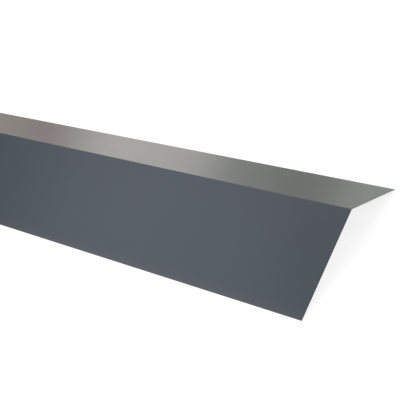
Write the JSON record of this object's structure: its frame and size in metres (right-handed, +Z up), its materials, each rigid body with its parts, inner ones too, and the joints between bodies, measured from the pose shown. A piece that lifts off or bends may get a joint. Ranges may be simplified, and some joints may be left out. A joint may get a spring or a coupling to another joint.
{
  "type": "ridge cap",
  "caption": "Length of roof ridge flashing: coated steel sheet folded once along the middle into two equal sloping wings, with a closed hem turned under each long edge.",
  "frame": {"origin": "middle of the footprint, on the level surface that the two hemmed edges stand on", "axes": "+X along the ridge, -Y towards the front wing and +Y towards the rear wing, +Z up through the ridge"},
  "size_m": [2, 0.369, 0.0776],
  "materials": {
    "coated_steel": "satin"
  },
  "bodies": {
    "root": {"ridge_cap_sheet": "coated_steel"}
  },
  "joints": []
}
